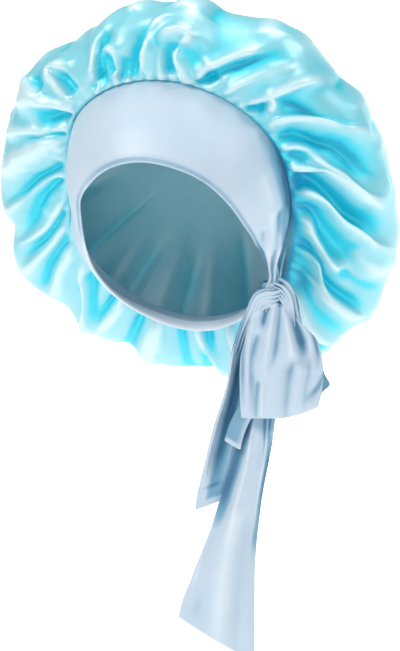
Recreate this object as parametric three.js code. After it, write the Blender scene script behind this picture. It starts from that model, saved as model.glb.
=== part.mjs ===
import * as THREE from "three";

// Sizes are in millimetres, angles in degrees; +X is the wearer's left, -Y is forward, +Z is up.
const CROWN_WALL = 1.6;
const TIE_WALL = 1.5;
const SEAM_GAP = 0.3;

// The head opening: its middle, the rise of its axis toward the back, and how far the puff goes behind it.
const OPENING_MIDDLE = new THREE.Vector3(0, 19, 16);
const OPENING_RISE = 31.1;
const PUFF_WIDEST_BEHIND = 40;
const PUFF_DEPTH = 122;
const FOLD_SWEEP = 0.85;

// The mesh: steps round the crown, its small gathers, and the steps from seam to back.
const CROWN_STEPS = 108;
const GATHERS = 36;
const GATHER_HEIGHT = 1.6;
const CROWN_RINGS = [0, 0.07, 0.2, 0.34, 0.48, 0.63, 0.79, 0.93, 1.07, 1.22, 1.38, 1.54, 1.7, 1.85];

// The gathered seam's radius by the clock: 0 is the top front and 90 the wearer's left.
const SEAM = [
  { angle: 0, radius: 117 },
  { angle: 20, radius: 114 },
  { angle: 35, radius: 111 },
  { angle: 52, radius: 107 },
  { angle: 70, radius: 100 },
  { angle: 85, radius: 95 },
  { angle: 100, radius: 92 },
  { angle: 117, radius: 95 },
  { angle: 135, radius: 103 },
  { angle: 180, radius: 111 },
  { angle: 225, radius: 109 },
  { angle: 258, radius: 105 },
  { angle: 278, radius: 99 },
  { angle: 300, radius: 104 },
  { angle: 318, radius: 115 },
  { angle: 339, radius: 118 },
];

// The crown's widest reach by the clock, with its soft lobes.
const REACH = [
  { angle: 3, radius: 164 },
  { angle: 11, radius: 166 },
  { angle: 20, radius: 156 },
  { angle: 28, radius: 161 },
  { angle: 37, radius: 173 },
  { angle: 45, radius: 167 },
  { angle: 54, radius: 163 },
  { angle: 70, radius: 168 },
  { angle: 80, radius: 165 },
  { angle: 92, radius: 169 },
  { angle: 98, radius: 168 },
  { angle: 107, radius: 175 },
  { angle: 120, radius: 177 },
  { angle: 131, radius: 184 },
  { angle: 142, radius: 183 },
  { angle: 156, radius: 188 },
  { angle: 174, radius: 185 },
  { angle: 192, radius: 188 },
  { angle: 208, radius: 185 },
  { angle: 222, radius: 190 },
  { angle: 231, radius: 183 },
  { angle: 241, radius: 195 },
  { angle: 250, radius: 193 },
  { angle: 259, radius: 176 },
  { angle: 266, radius: 180 },
  { angle: 278, radius: 172 },
  { angle: 291, radius: 168 },
  { angle: 302, radius: 165 },
  { angle: 309, radius: 168 },
  { angle: 322, radius: 161 },
  { angle: 334, radius: 156 },
  { angle: 343, radius: 164 },
  { angle: 355, radius: 161 },
];

// The crown's folds: where each leaves the seam, where it reaches the widest line, its height
// (a valley is negative), its half-width in degrees, and how far it runs, where 1 is the widest line.
const FOLDS = [
  { seam: -20, out: -17, height: -7, width: 4, runs: 1 },
  { seam: -15, out: -12, height: 6, width: 6, runs: 1.4 },
  { seam: -10, out: -5, height: -8, width: 4, runs: 0.9 },
  { seam: -5, out: -2, height: 6, width: 4, runs: 1 },
  { seam: 4, out: 4, height: -8, width: 4, runs: 0.7 },
  { seam: 11, out: 13, height: 7, width: 5, runs: 1.3 },
  { seam: 19, out: 23, height: -8, width: 4, runs: 0.7 },
  { seam: 14, out: 40, height: 6, width: 4, runs: 1.2 },
  { seam: 27, out: 48, height: -6, width: 7, runs: 1.1 },
  { seam: 35, out: 58, height: 8, width: 5, runs: 1.3 },
  { seam: 42, out: 66, height: -8, width: 5, runs: 1.1 },
  { seam: 49, out: 74, height: 6, width: 5, runs: 1.3 },
  { seam: 56, out: 81, height: -6, width: 4, runs: 0.9 },
  { seam: 63, out: 97, height: 7, width: 5, runs: 1.2 },
  { seam: 72, out: 108, height: -10, width: 5, runs: 1.2 },
  { seam: 80, out: 114, height: 8, width: 4, runs: 1.3 },
  { seam: 88, out: 118, height: -7, width: 5, runs: 0.7 },
  { seam: 99, out: 122, height: 6, width: 6, runs: 1.2 },
  { seam: 112, out: 136, height: -9, width: 5, runs: 1.1 },
  { seam: 124, out: 142, height: 8, width: 5, runs: 1.3 },
  { seam: 137, out: 152, height: -6, width: 6, runs: 1.1 },
  { seam: 150, out: 160, height: 6, width: 6, runs: 1.3 },
  { seam: 165, out: 170, height: -7, width: 6, runs: 1.2 },
  { seam: 180, out: 181, height: 6, width: 6, runs: 1.4 },
  { seam: 195, out: 193, height: -7, width: 6, runs: 1.2 },
  { seam: 210, out: 207, height: 6, width: 6, runs: 1.3 },
  { seam: 224, out: 220, height: -6, width: 5, runs: 1 },
  { seam: 234, out: 229, height: 6, width: 4, runs: 1.2 },
  { seam: 245, out: 236, height: -7, width: 5, runs: 0.9 },
  { seam: 257, out: 244, height: 6, width: 6, runs: 1.3 },
  { seam: 267, out: 250, height: -5, width: 4, runs: 0.6 },
  { seam: 275, out: 254, height: 5, width: 4, runs: 1 },
  { seam: 282, out: 259, height: -9, width: 5, runs: 1.1 },
  { seam: 293, out: 267, height: -8, width: 4, runs: 1.1 },
  { seam: 300, out: 277, height: 8, width: 7, runs: 1.4 },
  { seam: 307, out: 288, height: -5, width: 3, runs: 0.9 },
  { seam: 315, out: 299, height: -8, width: 5, runs: 0.9 },
  { seam: 318, out: 309, height: 6, width: 4, runs: 1.1 },
  { seam: 324, out: 320, height: -7, width: 4, runs: 0.8 },
  { seam: 333, out: 332, height: 6, width: 5, runs: 1.2 },
];

// How far a line of the crown's cloth sweeps round the clock on its way from the seam to the widest line.
const SWEEP = [
  { angle: 0, turn: 1 },
  { angle: 12, turn: 7 },
  { angle: 25, turn: 20 },
  { angle: 45, turn: 25 },
  { angle: 63, turn: 32 },
  { angle: 75, turn: 35 },
  { angle: 90, turn: 28 },
  { angle: 110, turn: 24 },
  { angle: 135, turn: 15 },
  { angle: 180, turn: 0 },
  { angle: 225, turn: -4 },
  { angle: 255, turn: -13 },
  { angle: 290, turn: -24 },
  { angle: 305, turn: -19 },
  { angle: 325, turn: -5 },
  { angle: 345, turn: 1 },
];

// The band by the clock: its crest and its hem, each as a radius and a place along the opening's axis.
const BAND = [
  { angle: -224, crestRadius: 99, crestAlong: -8, hemRadius: 97, hemAlong: -20 },
  { angle: -200, crestRadius: 106, crestAlong: -8, hemRadius: 107, hemAlong: -19 },
  { angle: -180, crestRadius: 107, crestAlong: -8, hemRadius: 110, hemAlong: -19 },
  { angle: -160, crestRadius: 106, crestAlong: -8, hemRadius: 107, hemAlong: -20 },
  { angle: -140, crestRadius: 105, crestAlong: -10, hemRadius: 101, hemAlong: -24 },
  { angle: -120, crestRadius: 102, crestAlong: -14, hemRadius: 90, hemAlong: -33 },
  { angle: -105, crestRadius: 98, crestAlong: -19, hemRadius: 80, hemAlong: -42 },
  { angle: -90, crestRadius: 92, crestAlong: -22, hemRadius: 74, hemAlong: -49 },
  { angle: -75, crestRadius: 92, crestAlong: -25, hemRadius: 73, hemAlong: -53 },
  { angle: -60, crestRadius: 97, crestAlong: -27, hemRadius: 76, hemAlong: -57 },
  { angle: -40, crestRadius: 105, crestAlong: -30, hemRadius: 78, hemAlong: -66 },
  { angle: -20, crestRadius: 109, crestAlong: -32, hemRadius: 82, hemAlong: -70 },
  { angle: 0, crestRadius: 109, crestAlong: -32, hemRadius: 84, hemAlong: -71 },
  { angle: 20, crestRadius: 106, crestAlong: -32, hemRadius: 82, hemAlong: -69 },
  { angle: 40, crestRadius: 101, crestAlong: -30, hemRadius: 78, hemAlong: -63 },
  { angle: 60, crestRadius: 96, crestAlong: -26, hemRadius: 74.5, hemAlong: -58 },
  { angle: 80, crestRadius: 90, crestAlong: -22, hemRadius: 73, hemAlong: -51 },
  { angle: 100, crestRadius: 87, crestAlong: -17, hemRadius: 76, hemAlong: -40 },
  { angle: 114, crestRadius: 90, crestAlong: -17, hemRadius: 81, hemAlong: -29 },
];
const BAND_TUCK = 4;
const BAND_FIRST = 111;
const BAND_LEAVES = 95;
const BAND_LAST = -224;
const BAND_STEP = 5;
const BAND_ACROSS = 6;

// The knot and the ties are laid out on a plane turned toward the wearer's left: across it, out of it, and up.
const HANG_TURN = 20;
const KNOT = { across: 79, out: 8, up: -66 };
const KNOT_WIDE = 18;
const KNOT_DEEP = 12.5;
const KNOT_ROLL_WIDE = 7.5;
const KNOT_ROLL_HIGH = 17;
const KNOT_STEPS = 36;
const KNOT_SIDES = 14;

// The band's two ends, from the ring down into the knot: seam side and hem side.
const TWIST_END = [
  { up: -33, seamAcross: 89, seamOut: 0, hemAcross: 75.5, hemOut: 7 },
  { up: -43, seamAcross: 87, seamOut: 6, hemAcross: 77, hemOut: 12 },
  { up: -52, seamAcross: 85.5, seamOut: 10, hemAcross: 74, hemOut: 12.5 },
  { up: -63, seamAcross: 86.3, seamOut: 11.8, hemAcross: 71.7, hemOut: 11.8 },
];
const NAPE_END = [
  { up: -37, seamAcross: 76, seamOut: -20, hemAcross: 66, hemOut: -11 },
  { up: -39, seamAcross: 82, seamOut: -6, hemAcross: 73, hemOut: -2 },
  { up: -47, seamAcross: 85, seamOut: 4.5, hemAcross: 74, hemOut: 5.5 },
  { up: -63, seamAcross: 87, seamOut: 6.2, hemAcross: 71, hemOut: 6.2 },
];

// The hanging ties by height: left and right edges, how far out each edge and the middle lie, and the pleats.
const BOW_LOOP = [
  { up: -69, left: 71.8, right: 86.2, outLeft: 12.1, outMiddle: 12.6, outRight: 12.1, pleat: 0.1 },
  { up: -85, left: 73, right: 85, outLeft: 12.3, outMiddle: 12.8, outRight: 12.3, pleat: 0.1 },
  { up: -91, left: 60, right: 104, outLeft: 14, outMiddle: 23, outRight: 14, pleat: 0.9 },
  { up: -108, left: 54, right: 118, outLeft: 17, outMiddle: 27, outRight: 17, pleat: 1.8 },
  { up: -132, left: 52, right: 125, outLeft: 19, outMiddle: 27, outRight: 17, pleat: 1.8 },
  { up: -150, left: 53, right: 119, outLeft: 19, outMiddle: 24, outRight: 16, pleat: 1.2 },
  { up: -156, left: 54, right: 117, outLeft: 15, outMiddle: 17, outRight: 13, pleat: 0.6 },
  { up: -150, left: 54, right: 117, outLeft: 11, outMiddle: 12, outRight: 10, pleat: 0.4 },
  { up: -128, left: 55, right: 118, outLeft: 10, outMiddle: 11, outRight: 10, pleat: 0.4 },
  { up: -104, left: 60, right: 104, outLeft: 10, outMiddle: 10.5, outRight: 10, pleat: 0.3 },
  { up: -86, left: 73, right: 86, outLeft: 9.8, outMiddle: 9.9, outRight: 9.8, pleat: 0.1 },
  { up: -69, left: 74, right: 84, outLeft: 9.8, outMiddle: 9.8, outRight: 9.8, pleat: 0 },
];
const TAIL_LONG = [
  { up: -69, left: 70, right: 88, outLeft: 7.2, outMiddle: 7.2, outRight: 7.2, pleat: 0 },
  { up: -86, left: 72, right: 86, outLeft: 7, outMiddle: 7, outRight: 7, pleat: 0.1 },
  { up: -120, left: 63, right: 86, outLeft: 5, outMiddle: 6, outRight: 5, pleat: 0.6 },
  { up: -157, left: 56, right: 81, outLeft: 5, outMiddle: 7, outRight: 6, pleat: 1 },
  { up: -184, left: 52, right: 78, outLeft: 6, outMiddle: 11, outRight: 7, pleat: 1.6 },
  { up: -225, left: 43, right: 70, outLeft: 9, outMiddle: 15, outRight: 9, pleat: 2 },
  { up: -274, left: 24, right: 67, outLeft: 13, outMiddle: 20, outRight: 12, pleat: 2 },
  { up: -310, left: 8, right: 65, outLeft: 17, outMiddle: 22, outRight: 14, pleat: 1.6 },
  { up: -336, left: 3, right: 61, outLeft: 19, outMiddle: 23, outRight: 16, pleat: 1.2 },
];
const TAIL_SHORT = [
  { up: -69, left: 72.6, right: 85.2, outLeft: 4.7, outMiddle: 4.7, outRight: 4.7, pleat: 0 },
  { up: -86, left: 73, right: 83, outLeft: 4.4, outMiddle: 4.4, outRight: 4.4, pleat: 0.1 },
  { up: -98, left: 50, right: 74, outLeft: 1, outMiddle: 2.5, outRight: 2, pleat: 0.4 },
  { up: -143, left: 40, right: 66, outLeft: -1, outMiddle: 1.5, outRight: -0.5, pleat: 0.8 },
  { up: -180, left: 28, right: 55, outLeft: -1, outMiddle: 3, outRight: 0, pleat: 1.2 },
  { up: -214, left: 17, right: 44, outLeft: 0, outMiddle: 4, outRight: 1, pleat: 1.2 },
  { up: -229, left: 15, right: 39, outLeft: 1, outMiddle: 4, outRight: 2, pleat: 0.8 },
];
const TAIL_LONG_SLANT = 12;
const TAIL_SHORT_SLANT = -5;
const LOOP_SLANT = -5;

const satin = new THREE.MeshStandardMaterial({
  color: 0x78dcf0,
  roughness: 0.35,
  metalness: 0,
  side: THREE.DoubleSide,
});
const jersey = new THREE.MeshStandardMaterial({
  color: 0xcde1f5,
  roughness: 0.8,
  metalness: 0,
  side: THREE.DoubleSide,
});

const rad = THREE.MathUtils.degToRad;
const { clamp, lerp, smoothstep } = THREE.MathUtils;

// A smooth value between four neighbours, at share k from b to c.
function between(a, b, c, d, k) {
  const bend = 2 * a - 5 * b + 4 * c - d + k * (3 * (b - c) + d - a);
  return b + 0.5 * k * (c - a + k * bend);
}

// A column of a table by the clock, joined smoothly round the full turn.
function byClock(table, column, angle) {
  const n = table.length;
  const first = table[0].angle;
  const at = first + THREE.MathUtils.euclideanModulo(angle - first, 360);
  let i = n - 1;
  while (table[i].angle > at) {
    i -= 1;
  }
  const from = table[i].angle;
  const to = i + 1 < n ? table[i + 1].angle : first + 360;
  const near = [-1, 0, 1, 2].map((step) => table[(i + step + n) % n][column]);
  return between(...near, (at - from) / (to - from));
}

// Every column of a table of rows in order, smoothly, at a share of the rows' run.
function alongRows(table, share) {
  const last = table.length - 1;
  const at = clamp(share, 0, 1) * last;
  const i = Math.min(Math.floor(at), last - 1);
  const row = {};
  for (const column of Object.keys(table[0])) {
    const near = [-1, 0, 1, 2].map((step) => table[clamp(i + step, 0, last)][column]);
    row[column] = between(...near, at - i);
  }
  return row;
}

const openingAxis = new THREE.Vector3(0, Math.cos(rad(OPENING_RISE)), Math.sin(rad(OPENING_RISE)));
const openingUp = new THREE.Vector3(0, -Math.sin(rad(OPENING_RISE)), Math.cos(rad(OPENING_RISE)));

// A point round the opening's axis: clock angle, radius, and place along the axis.
function aroundOpening(angle, radius, along) {
  return OPENING_MIDDLE.clone()
    .addScaledVector(openingUp, radius * Math.cos(rad(angle)))
    .add(new THREE.Vector3(radius * Math.sin(rad(angle)), 0, 0))
    .addScaledVector(openingAxis, along);
}

// A point on the plane that the knot and ties hang in.
function hanging(across, out, up) {
  const turn = rad(HANG_TURN);
  return new THREE.Vector3(
    across * Math.cos(turn) + out * Math.sin(turn),
    across * Math.sin(turn) - out * Math.cos(turn),
    up,
  );
}

// The height of the crown's folds at a clock angle and a run, where 1 is the widest line and 2 the back.
function foldHeight(angle, run) {
  const rise = smoothstep(run, 0, 0.22) * (1 - 0.65 * smoothstep(run, 0.55, 1));
  let height = GATHER_HEIGHT * Math.cos(rad(GATHERS * angle)) * smoothstep(run, 0, 0.05);
  height *= 1 - smoothstep(run, 0.1, 0.4);
  for (const fold of FOLDS) {
    const middle = lerp(fold.seam, fold.out, Math.min(run, 1) ** FOLD_SWEEP);
    const off = THREE.MathUtils.euclideanModulo(angle - middle + 180, 360) - 180;
    const fade = 1 - smoothstep(run, fold.runs - 0.15, fold.runs + 0.55);
    height += fold.height * rise * fade * Math.exp(-((off / fold.width) ** 2));
  }
  return height;
}

// The crown's outer face at a clock angle and a run from the seam to the back.
function crownPoint(angle, run) {
  const seam = byClock(SEAM, "radius", angle) + SEAM_GAP;
  const wide = byClock(REACH, "radius", angle) - seam;
  const turn = rad(90 * (run < 1 ? run : run - 1));
  const height = foldHeight(angle, run);
  if (run < 1) {
    const out = wide * Math.sin(turn) + height * Math.sin(turn);
    const back = PUFF_WIDEST_BEHIND * (1 - Math.cos(turn)) - height * Math.cos(turn);
    return aroundOpening(angle, seam + out, back - 8 * Math.sin(turn) * Math.cos(turn));
  }
  const lobe = lerp(byClock(REACH, "radius", angle), 174, smoothstep(run, 1, 1.7));
  const depth = PUFF_DEPTH - PUFF_WIDEST_BEHIND + height * Math.sin(turn);
  return aroundOpening(
    angle,
    (lobe + height) * Math.cos(turn),
    PUFF_WIDEST_BEHIND + depth * Math.sin(turn),
  );
}

// The clock angle, at a run, of the line of cloth that leaves the seam at a given angle.
function sweptAngle(seamAngle, run) {
  return seamAngle + byClock(SWEEP, "turn", seamAngle) * Math.min(run, 1) ** FOLD_SWEEP;
}

function meshFrom(name, points, faces, material) {
  const geometry = new THREE.BufferGeometry();
  const places = points.flatMap((p) => [p.x, p.y, p.z]);
  geometry.setAttribute("position", new THREE.Float32BufferAttribute(places, 3));
  geometry.setIndex(faces.flat());
  geometry.computeVertexNormals();
  const mesh = new THREE.Mesh(geometry, material);
  mesh.name = name;
  return mesh;
}

// The puffed crown: an open-mouthed bag of one wall, its mouth on the seam.
function buildCrown() {
  const outer = [];
  const inner = [];
  const n = CROWN_STEPS;
  const rings = CROWN_RINGS.length;
  for (const run of CROWN_RINGS) {
    for (let i = 0; i < n; i += 1) {
      const angle = sweptAngle((360 * i) / n, run);
      const here = crownPoint(angle, run);
      const round = crownPoint(angle + 1, run).sub(crownPoint(angle - 1, run));
      const back = crownPoint(angle, run + 0.02).sub(crownPoint(angle, Math.max(run - 0.02, 0)));
      const inward = back.cross(round).normalize();
      outer.push(here);
      inner.push(
        run === 0
          ? here.clone().addScaledVector(openingAxis, CROWN_WALL)
          : here.clone().addScaledVector(inward, CROWN_WALL),
      );
    }
  }
  const points = [...outer, ...inner];
  const middle = aroundOpening(0, 0, PUFF_DEPTH);
  points.push(middle, middle.clone().addScaledVector(openingAxis, -CROWN_WALL));
  const faces = [];
  const shift = outer.length;
  for (let j = 0; j < rings - 1; j += 1) {
    for (let i = 0; i < n; i += 1) {
      const a = j * n + i;
      const b = j * n + ((i + 1) % n);
      faces.push([a, b, a + n], [b, b + n, a + n]);
      faces.push([a + shift, a + n + shift, b + shift], [b + shift, a + n + shift, b + n + shift]);
    }
  }
  const lastRing = (rings - 1) * n;
  for (let i = 0; i < n; i += 1) {
    const next = (i + 1) % n;
    faces.push([lastRing + i, lastRing + next, 2 * shift]);
    faces.push([lastRing + next + shift, lastRing + i + shift, 2 * shift + 1]);
    faces.push([next, i, i + shift], [next, i + shift, next + shift]);
  }
  return meshFrom("crown", points, faces, satin);
}

// A strip of cloth from rows of points, front face first, given its wall behind.
function buildStrip(name, grid, material) {
  const rows = grid.length;
  const columns = grid[0].length;
  const front = [];
  const back = [];
  for (let j = 0; j < rows; j += 1) {
    for (let i = 0; i < columns; i += 1) {
      const down = grid[Math.min(j + 1, rows - 1)][i].clone().sub(grid[Math.max(j - 1, 0)][i]);
      const along = grid[j][Math.min(i + 1, columns - 1)].clone().sub(grid[j][Math.max(i - 1, 0)]);
      const behind = along.cross(down).normalize();
      front.push(grid[j][i]);
      back.push(grid[j][i].clone().addScaledVector(behind, TIE_WALL));
    }
  }
  const shift = front.length;
  const faces = [];
  for (let j = 0; j < rows - 1; j += 1) {
    for (let i = 0; i < columns - 1; i += 1) {
      const a = j * columns + i;
      const c = a + columns;
      faces.push([a, c, a + 1], [a + 1, c, c + 1]);
      faces.push([a + shift, a + 1 + shift, c + shift], [a + 1 + shift, c + 1 + shift, c + shift]);
    }
  }
  const edge = [];
  for (let i = 0; i < columns - 1; i += 1) {
    edge.push([i, i + 1], [(rows - 1) * columns + i + 1, (rows - 1) * columns + i]);
  }
  for (let j = 0; j < rows - 1; j += 1) {
    edge.push([(j + 1) * columns, j * columns]);
    edge.push([(j + 1) * columns - 1, (j + 2) * columns - 1]);
  }
  for (const [a, b] of edge) {
    faces.push([a, b, a + shift], [b, b + shift, a + shift]);
  }
  return meshFrom(name, [...front, ...back], faces, material);
}

// A row of points through a seam-side point, a crest and a hem-side point.
function bandRow(seam, crest, hem) {
  const row = [];
  for (let i = 0; i <= BAND_ACROSS; i += 1) {
    const s = i / BAND_ACROSS;
    const point = seam.clone().multiplyScalar((1 - s) * (1 - 2 * s));
    point.addScaledVector(crest, 4 * s * (1 - s)).addScaledVector(hem, s * (2 * s - 1));
    row.push(point);
  }
  return row;
}

function endRow({ up, seamAcross, seamOut, hemAcross, hemOut }) {
  const seam = hanging(seamAcross, seamOut, up);
  const hem = hanging(hemAcross, hemOut, up);
  const crest = seam.clone().add(hem).multiplyScalar(0.5);
  return bandRow(seam, crest, hem);
}

// The band's crest and hem at a clock angle between its first and last rows.
function bandAt(angle) {
  let i = BAND.length - 2;
  while (BAND[i].angle > angle) {
    i -= 1;
  }
  const k = (angle - BAND[i].angle) / (BAND[i + 1].angle - BAND[i].angle);
  return alongRows(BAND, (i + k) / (BAND.length - 1));
}

// The wide band: round the head on the seam, tapering round the nape, both ends down into the knot.
function buildBand() {
  const grid = TWIST_END.map(endRow).reverse();
  for (let angle = BAND_FIRST; angle >= BAND_LAST; angle -= BAND_STEP) {
    const row = bandAt(angle);
    const leave = smoothstep(angle, BAND_LEAVES, BAND_FIRST);
    const seamRadius = byClock(SEAM, "radius", angle) - 2 * leave;
    grid.push(
      bandRow(
        aroundOpening(angle, seamRadius, lerp(BAND_TUCK, -8, leave)),
        aroundOpening(angle, row.crestRadius, row.crestAlong),
        aroundOpening(angle, row.hemRadius, row.hemAlong),
      ),
    );
  }
  grid.push(...NAPE_END.map(endRow));
  return buildStrip("band", grid, jersey);
}

// A hanging tie from its table: steps down it, steps across it, pleats across it, and the slant of its end.
function buildTie(name, table, steps, across, pleats, slant) {
  const grid = [];
  for (let j = 0; j <= steps; j += 1) {
    const row = alongRows(table, j / steps);
    const grown = smoothstep(row.right - row.left, 20, 55);
    grid.push(
      Array.from({ length: across + 1 }, (_, i) => {
        const s = i / across;
        const sag = 4 * s * (1 - s) * (row.outMiddle - (row.outLeft + row.outRight) / 2);
        const wave = row.pleat * Math.cos(2 * Math.PI * pleats * s);
        const out = lerp(row.outLeft, row.outRight, s) + sag + wave;
        return hanging(lerp(row.left, row.right, s), out, row.up - slant * (s - 0.5) * 2 * grown);
      }),
    );
  }
  return buildStrip(name, grid, jersey);
}

// The knot: a thick rolled wrap round the gathered ends, ribbed by its folds.
function buildKnot() {
  const points = [];
  const faces = [];
  for (let i = 0; i < KNOT_STEPS; i += 1) {
    const turn = (2 * Math.PI * i) / KNOT_STEPS;
    for (let j = 0; j < KNOT_SIDES; j += 1) {
      const side = (2 * Math.PI * j) / KNOT_SIDES;
      const outside = Math.max(Math.cos(side), 0);
      const swell = 1 + 0.09 * Math.cos(5 * side + turn) * outside;
      const wide = Math.cos(side) * KNOT_ROLL_WIDE * swell * (0.8 + 0.2 * Math.abs(Math.cos(turn)));
      const high = Math.sin(side) * KNOT_ROLL_HIGH * (1 - 0.12 * Math.sin(turn));
      points.push(
        hanging(
          KNOT.across + (KNOT_WIDE + wide) * Math.cos(turn),
          KNOT.out + (KNOT_DEEP + wide) * Math.sin(turn),
          KNOT.up + high - 3 * Math.sin(turn) - 3 * Math.cos(turn),
        ),
      );
      const a = i * KNOT_SIDES + j;
      const b = i * KNOT_SIDES + ((j + 1) % KNOT_SIDES);
      const c = ((i + 1) % KNOT_STEPS) * KNOT_SIDES + j;
      const d = ((i + 1) % KNOT_STEPS) * KNOT_SIDES + ((j + 1) % KNOT_SIDES);
      faces.push([a, b, c], [b, d, c]);
    }
  }
  return meshFrom("knot", points, faces, jersey);
}

const bonnet = new THREE.Group();
bonnet.name = "sleep_bonnet";
bonnet.add(
  buildCrown(),
  buildBand(),
  buildKnot(),
  buildTie("bow_loop", BOW_LOOP, 28, 9, 2.5, LOOP_SLANT),
  buildTie("tail_long", TAIL_LONG, 20, 7, 1.5, TAIL_LONG_SLANT),
  buildTie("tail_short", TAIL_SHORT, 14, 5, 1, TAIL_SHORT_SLANT),
);

export default bonnet;
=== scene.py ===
import math
import random

import bmesh
import bpy
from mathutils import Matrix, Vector


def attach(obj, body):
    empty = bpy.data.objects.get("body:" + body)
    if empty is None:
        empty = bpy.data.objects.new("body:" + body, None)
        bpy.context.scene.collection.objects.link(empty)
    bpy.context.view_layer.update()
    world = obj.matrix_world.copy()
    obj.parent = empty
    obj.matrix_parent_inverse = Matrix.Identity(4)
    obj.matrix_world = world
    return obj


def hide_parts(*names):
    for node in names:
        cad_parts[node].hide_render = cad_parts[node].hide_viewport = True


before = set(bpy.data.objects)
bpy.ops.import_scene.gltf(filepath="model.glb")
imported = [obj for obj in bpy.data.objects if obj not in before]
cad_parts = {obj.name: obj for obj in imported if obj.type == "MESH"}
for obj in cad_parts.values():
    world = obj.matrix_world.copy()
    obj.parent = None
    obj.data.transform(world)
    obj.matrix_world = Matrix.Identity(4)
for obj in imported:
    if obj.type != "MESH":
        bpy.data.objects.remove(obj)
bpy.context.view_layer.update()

# Camera and studio: the bonnet is seen from its front left, level with it, through a long lens.
# It hangs over a pale floor as it would on a head, in soft light from the left and the front.
VIEW_TURN = math.radians(20)
VIEW_RISE = math.radians(2)
VIEW_FAR = 2.1
VIEW_HIGH = 0.5338

view_right = Vector((math.cos(VIEW_TURN), math.sin(VIEW_TURN), 0))
view_out = Vector(
    (
        math.sin(VIEW_TURN) * math.cos(VIEW_RISE),
        -math.cos(VIEW_TURN) * math.cos(VIEW_RISE),
        math.sin(VIEW_RISE),
    )
)
view_middle = view_right * 0.0205 + Vector((0, 0, -0.0817))

camera_data = bpy.data.cameras.new("camera")
camera_data.sensor_fit = "VERTICAL"
camera_data.sensor_height = 36
camera_data.lens = 36 * VIEW_FAR / VIEW_HIGH
camera_data.clip_end = 20
camera = bpy.data.objects.new("camera", camera_data)
camera.location = view_middle + view_out * VIEW_FAR
camera.rotation_euler = view_out.to_track_quat("Z", "Y").to_euler()
bpy.context.scene.collection.objects.link(camera)
bpy.context.scene.camera = camera

world = bpy.data.worlds.new("studio_air")
world.use_nodes = True
world.node_tree.nodes["Background"].inputs["Color"].default_value = (0.93, 0.96, 1.0, 1)
world.node_tree.nodes["Background"].inputs["Strength"].default_value = 0.31
bpy.context.scene.world = world
bpy.context.scene.view_settings.view_transform = "Standard"
bpy.context.scene.view_settings.look = "None"


def soft_lamp(name, place, aim, size, power, colour):
    data = bpy.data.lights.new(name, "AREA")
    data.shape = "DISK"
    data.size = size
    data.energy = power
    data.color = colour
    lamp = bpy.data.objects.new(name, data)
    lamp.location = place
    lamp.rotation_euler = (Vector(place) - Vector(aim)).to_track_quat("Z", "Y").to_euler()
    bpy.context.scene.collection.objects.link(lamp)


soft_lamp("key_left", (-1.0, -1.4, 1.25), (0, 0, 0.05), 0.6, 17.5, (1, 0.99, 0.98))
soft_lamp("fill_front", (0.6, -1.9, 0.1), (0, 0, -0.1), 1.1, 5, (0.97, 0.99, 1))
soft_lamp("edge_right", (1.35, -0.35, 1.0), (0, 0, 0.05), 0.4, 6.5, (0.97, 0.99, 1))
soft_lamp("top", (0.1, 0.1, 1.6), (0, 0, 0), 0.65, 8.6, (1, 1, 1))

# The floor runs back level, then bends up into a wall. It glows with painted light, dim at the front and
# bright towards the wall.
FLOOR_HALF = 4.7
FLOOR_LEVEL = 6.6
FLOOR_BEND = 0.6
FLOOR_FRONT = -1.8
FLOOR_UP = -0.46
floor_mesh = bpy.data.meshes.new("studio_floor")
floor = bpy.data.objects.new("studio_floor", floor_mesh)
bpy.context.scene.collection.objects.link(floor)
bm = bmesh.new()
bmesh.ops.create_grid(bm, x_segments=4, y_segments=40, size=1)
for v in bm.verts:
    run = (v.co.y + 1) * FLOOR_HALF
    bend = max(run - FLOOR_LEVEL, 0)
    turn = min(bend / FLOOR_BEND, math.pi / 2)
    up = FLOOR_BEND * (1 - math.cos(turn)) + max(bend - FLOOR_BEND * math.pi / 2, 0)
    back = min(run, FLOOR_LEVEL) + FLOOR_BEND * math.sin(turn)
    v.co = (v.co.x * 6, back + FLOOR_FRONT, up + FLOOR_UP)
bm.to_mesh(floor_mesh)
bm.free()
for face in floor_mesh.polygons:
    face.use_smooth = True
floor_paint = bpy.data.materials.new("studio_floor")
floor_paint.use_nodes = True
shader = floor_paint.node_tree.nodes["Principled BSDF"]
shader.inputs["Base Color"].default_value = (0.95, 0.95, 0.95, 1)
shader.inputs["Roughness"].default_value = 0.9
shader.inputs["Emission Strength"].default_value = 1
nodes, links = floor_paint.node_tree.nodes, floor_paint.node_tree.links
# Painted light: the floor's glow rises from dim in front to bright at the wall.
floor_place = nodes.new("ShaderNodeTexCoord")
floor_axes = nodes.new("ShaderNodeSeparateXYZ")
floor_glow = nodes.new("ShaderNodeMapRange")
for socket, value in (("From Min", -0.5), ("From Max", 1.4), ("To Min", 0.28), ("To Max", 0.95)):
    floor_glow.inputs[socket].default_value = value
links.new(floor_place.outputs["Object"], floor_axes.inputs["Vector"])
links.new(floor_axes.outputs["Y"], floor_glow.inputs["Value"])
links.new(floor_glow.outputs["Result"], shader.inputs["Emission Color"])
floor_mesh.materials.append(floor_paint)

# The crown is a flat disc of woven satin, gathered all round its edge onto the head opening.
# Its fullness stands in folds that leave the seam in small gathers and sweep down at the sides.
OPENING_MIDDLE = Vector((0, 0.019, 0.016))
OPENING_RISE = math.radians(31.1)
WIDEST_BEHIND = 0.040
PUFF_DEPTH = 0.122
BACK_LOBE = 174
DISC_RADIUS = 0.285
GATHERS = 78
CROWN_ACROSS = 540
CROWN_ROWS = 112
AROUND = 2.45
ALONG = 75
FOLD_SWEEP = 0.85

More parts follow.
